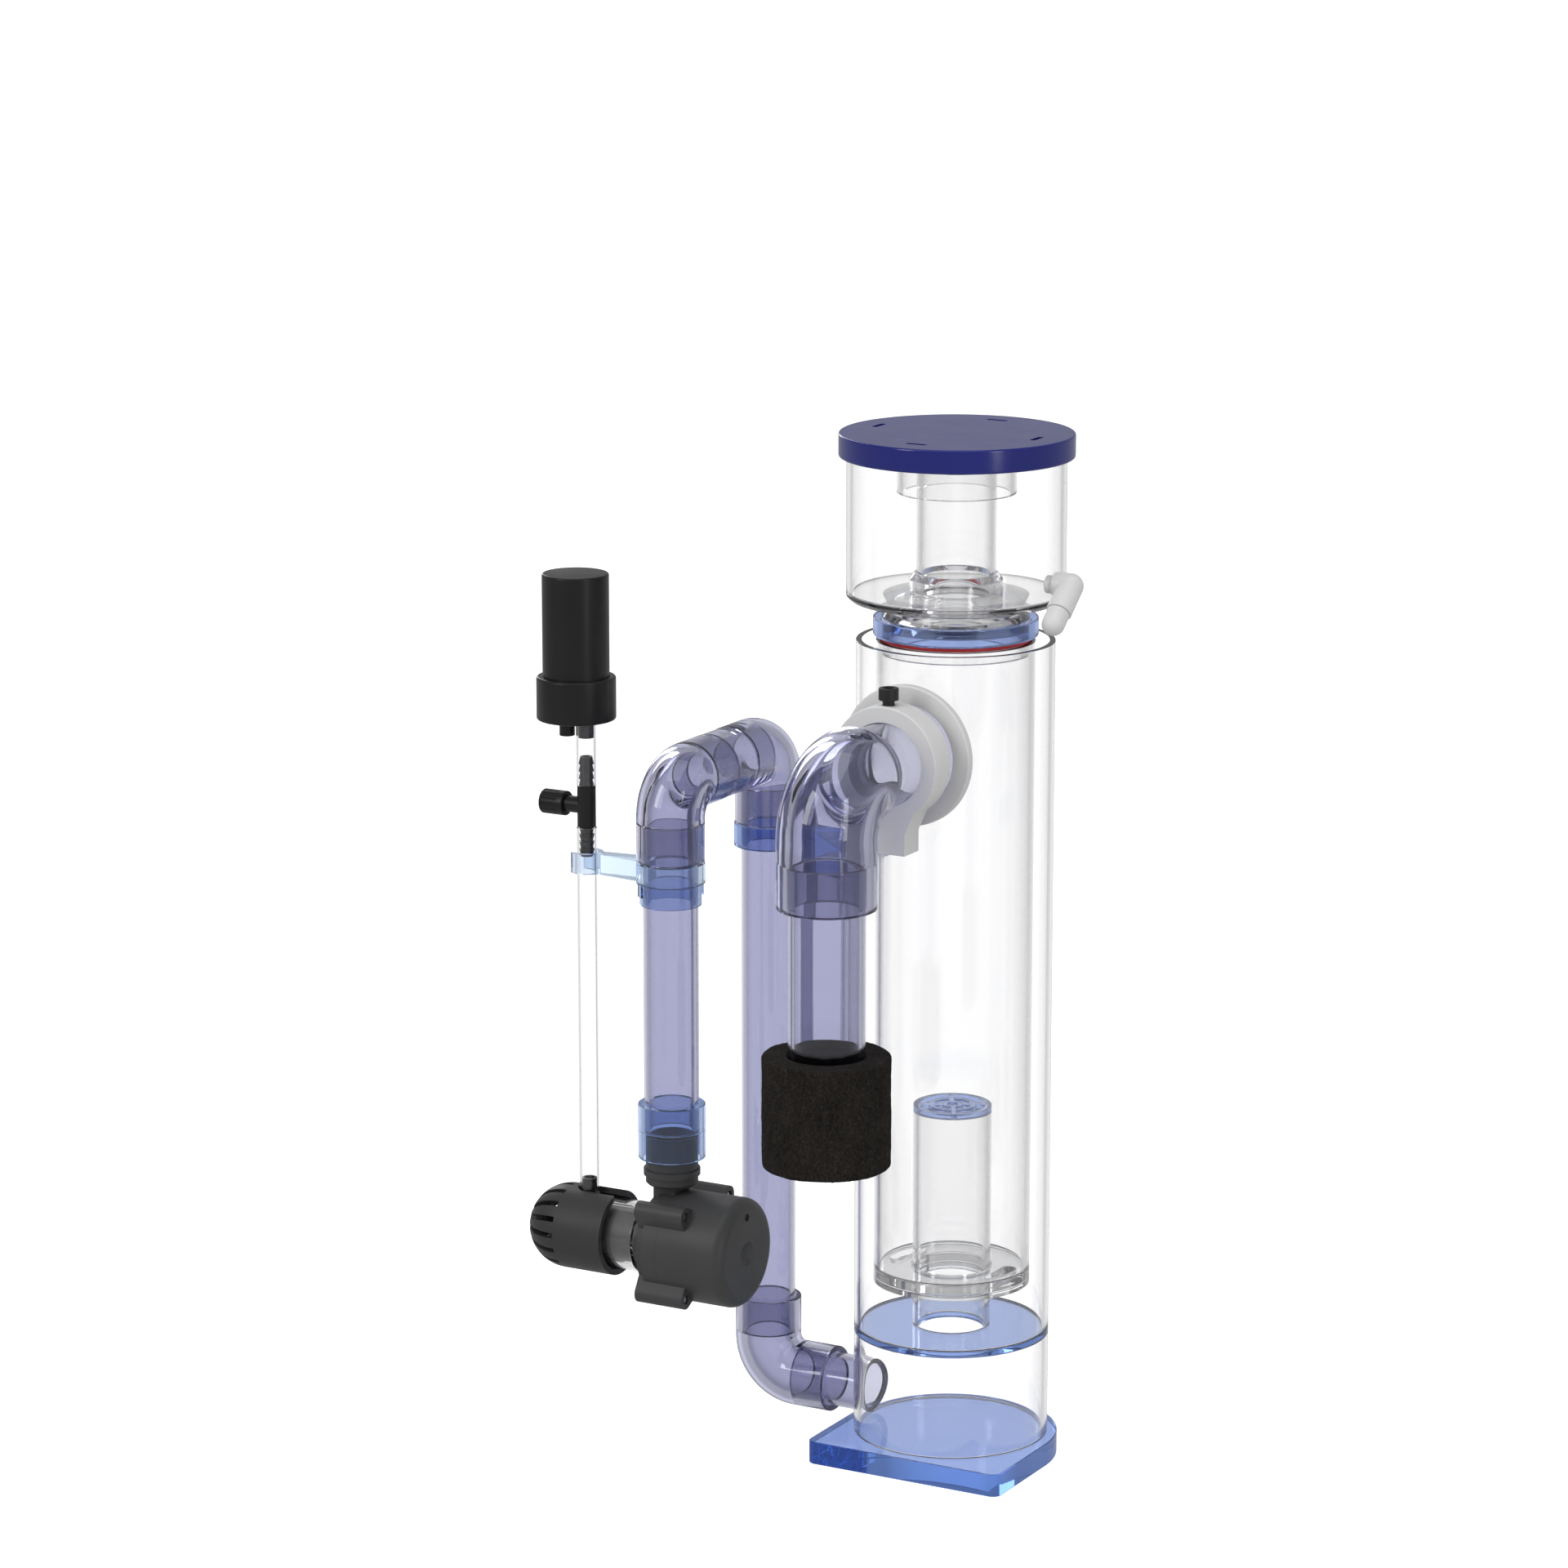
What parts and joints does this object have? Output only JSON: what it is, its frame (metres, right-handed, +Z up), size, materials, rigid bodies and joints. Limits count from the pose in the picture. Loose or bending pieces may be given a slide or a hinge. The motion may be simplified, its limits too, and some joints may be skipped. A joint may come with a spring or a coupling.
{
  "type": "protein skimmer",
  "caption": "Tall clear-tube protein skimmer with side riser pipework, venturi pump, swivelling outlet with sponge, air line and lift-off collection cup.",
  "frame": {"origin": "where the axis of the main body meets the underside of the base plate", "axes": "+Z up, +X along the pump shaft towards its motor, -Y the side of the water outlet"},
  "size_m": [0.2583, 0.2256, 0.5313],
  "materials": {
    "acrylic_clear": "clear cast acrylic, polished",
    "acrylic_blue": "blue tinted cast acrylic, polished",
    "acrylic_light_blue": "light blue tinted acrylic, polished",
    "acrylic_pale_blue": "pale blue acrylic, polished",
    "pvc_violet": "violet tinted transparent PVC",
    "white_plastic": "white moulded PVC, satin",
    "red_rubber": "red silicone",
    "lid_blue": "deep blue acrylic, polished",
    "screw_black": "black nylon-coated screw",
    "pump_plastic": "dark grey moulded plastic",
    "pump_screw_steel": "stainless steel",
    "stator_iron": "iron core potted in resin",
    "rotor_ferrite": "ferrite magnet",
    "impeller_plastic": "moulded plastic",
    "shaft_ceramic": "polished ceramic",
    "black_rubber": "black rubber",
    "strainer_plastic": "dark grey moulded plastic",
    "black_plastic": "black moulded plastic, satin",
    "hose_clear": "clear silicone hose",
    "sponge_foam": "black open-cell foam",
    "silencer_foam": "grey open-cell foam"
  },
  "bodies": {
    "root": {"base_plate": "acrylic_blue", "lower_chamber_tube": "acrylic_clear", "chamber_disc": "acrylic_blue", "body_tube": "acrylic_clear", "bubble_foot": "acrylic_clear", "flow_plate": "acrylic_clear", "bubble_tube": "acrylic_clear", "bubble_grille": "acrylic_blue", "riser_elbow": "pvc_violet", "downpipe_upper_elbow": "pvc_violet", "downpipe_lower_elbow": "pvc_violet", "riser_pipe": "pvc_violet", "down_pipe": "pvc_violet", "crossover_pipe": "pvc_violet", "inlet_stub_pipe": "pvc_violet", "pump_coupler": "acrylic_light_blue", "hose_clip_arm": "acrylic_pale_blue", "clip_stop_ring": "acrylic_light_blue", "pipe_bracket": "acrylic_blue", "outlet_bulkhead": "pvc_violet", "bulkhead_flange": "white_plastic", "outlet_collar": "white_plastic"},
    "reaction_tube": {"reaction_tube": "acrylic_clear", "reaction_floor": "acrylic_clear"},
    "o_ring": {"cup_o_ring": "red_rubber"},
    "cup": {"cup_neck": "acrylic_clear", "cup_flange": "acrylic_blue", "cup_floor": "acrylic_clear", "cup_wall": "acrylic_clear", "cup_riser_tube": "acrylic_clear", "cup_riser_collar": "acrylic_clear"},
    "drain_elbow": {"drain_elbow": "white_plastic"},
    "drain_plug": {"drain_plug": "white_plastic"},
    "lid": {"lid": "lid_blue", "lid_baffle": "acrylic_clear"},
    "collar_screw": {"collar_screw": "screw_black"},
    "outlet_elbow": {"outlet_elbow": "pvc_violet"},
    "outlet_pipe": {"outlet_pipe": "pvc_violet"},
    "sponge": {"outlet_sponge": "sponge_foam"},
    "pump": {"pump_volute": "pump_plastic", "pump_motor_housing": "pump_plastic", "pump_screws": "pump_screw_steel", "rotor_well": "pump_plastic", "stator_core": "stator_iron", "ceramic_shaft": "shaft_ceramic", "shaft_bushes": "black_rubber", "cable_gland": "black_rubber"},
    "rotor": {"rotor_magnet": "rotor_ferrite", "impeller": "impeller_plastic"},
    "venturi": {"venturi_sleeve": "acrylic_clear", "venturi_nozzle": "acrylic_clear", "air_nipple": "black_plastic"},
    "strainer": {"inlet_strainer": "strainer_plastic"},
    "air_hose": {"air_hose_long": "hose_clear"},
    "air_valve": {"air_valve_body": "black_plastic"},
    "valve_knob": {"air_valve_knob": "black_plastic"},
    "short_hose": {"air_hose_short": "hose_clear"},
    "silencer": {"silencer_cap": "black_plastic", "silencer_body": "black_plastic", "silencer_foam": "silencer_foam"}
  },
  "joints": [
    {"name": "reaction_tube_lift", "type": "slide", "parent": "root", "child": "reaction_tube", "axis": [0, 0, 1], "range_m": [0, 0.105]},
    {"name": "cup_lift", "type": "slide", "parent": "reaction_tube", "child": "o_ring", "axis": [0, 0, 1], "range_m": [0, 0.024]},
    {"name": "cup_turn", "type": "hinge", "parent": "o_ring", "child": "cup", "pos_m": [0, 0, 0.4296], "axis": [0, 0, 1], "range_deg": [-180, 0]},
    {"name": "drain_swivel", "type": "hinge", "parent": "cup", "child": "drain_elbow", "pos_m": [0.055, 0, 0.4592], "axis": [1, 0, 0], "range_deg": [-140, 0]},
    {"name": "drain_plug_pull", "type": "slide", "parent": "drain_elbow", "child": "drain_plug", "axis": [0, 0.766, 0.6428], "range_m": [-0.02, 0]},
    {"name": "lid_lift", "type": "slide", "parent": "cup", "child": "lid", "axis": [0, 0, 1], "range_m": [0, 0.037]},
    {"name": "collar_screw_lift", "type": "slide", "parent": "root", "child": "collar_screw", "axis": [0, 0, 1], "range_m": [0, 0.019]},
    {"name": "outlet_swivel", "type": "hinge", "parent": "root", "child": "outlet_elbow", "pos_m": [0, -0.07, 0.377], "axis": [0, 1, 0], "range_deg": [-90, 0]},
    {"name": "outlet_pipe_pull", "type": "slide", "parent": "outlet_elbow", "child": "outlet_pipe", "axis": [0, 0, -1], "range_m": [0, 0.047]},
    {"name": "sponge_pull", "type": "slide", "parent": "outlet_pipe", "child": "sponge", "axis": [0, 0, -1], "range_m": [0, 0.0727]},
    {"name": "pump_pull", "type": "slide", "parent": "root", "child": "pump", "axis": [0, 0, -1], "range_m": [0, 0.0284]},
    {"name": "rotor_spin", "type": "hinge", "parent": "pump", "child": "rotor", "pos_m": [-0.1074, -0.1, 0.123], "axis": [1, 0, 0], "continuous": true},
    {"name": "venturi_pull", "type": "slide", "parent": "pump", "child": "venturi", "axis": [-1, 0, 0], "range_m": [0, 0.03]},
    {"name": "strainer_pull", "type": "slide", "parent": "venturi", "child": "strainer", "axis": [-1, 0, 0], "range_m": [0, 0.034]},
    {"name": "air_hose_lift", "type": "slide", "parent": "venturi", "child": "air_hose", "axis": [0, 0, 1], "range_m": [0, 0.0624]},
    {"name": "air_valve_lift", "type": "slide", "parent": "air_hose", "child": "air_valve", "axis": [0, 0, 1], "range_m": [0, 0.0234]},
    {"name": "valve_turn", "type": "hinge", "parent": "air_valve", "child": "valve_knob", "pos_m": [-0.1673, -0.1, 0.3438], "axis": [1, 0, 0], "range_deg": [-270, 0]},
    {"name": "short_hose_lift", "type": "slide", "parent": "air_valve", "child": "short_hose", "axis": [0, 0, 1], "range_m": [0, 0.0227]},
    {"name": "silencer_lift", "type": "slide", "parent": "short_hose", "child": "silencer", "axis": [0, 0, 1], "range_m": [0, 0.017]}
  ]
}
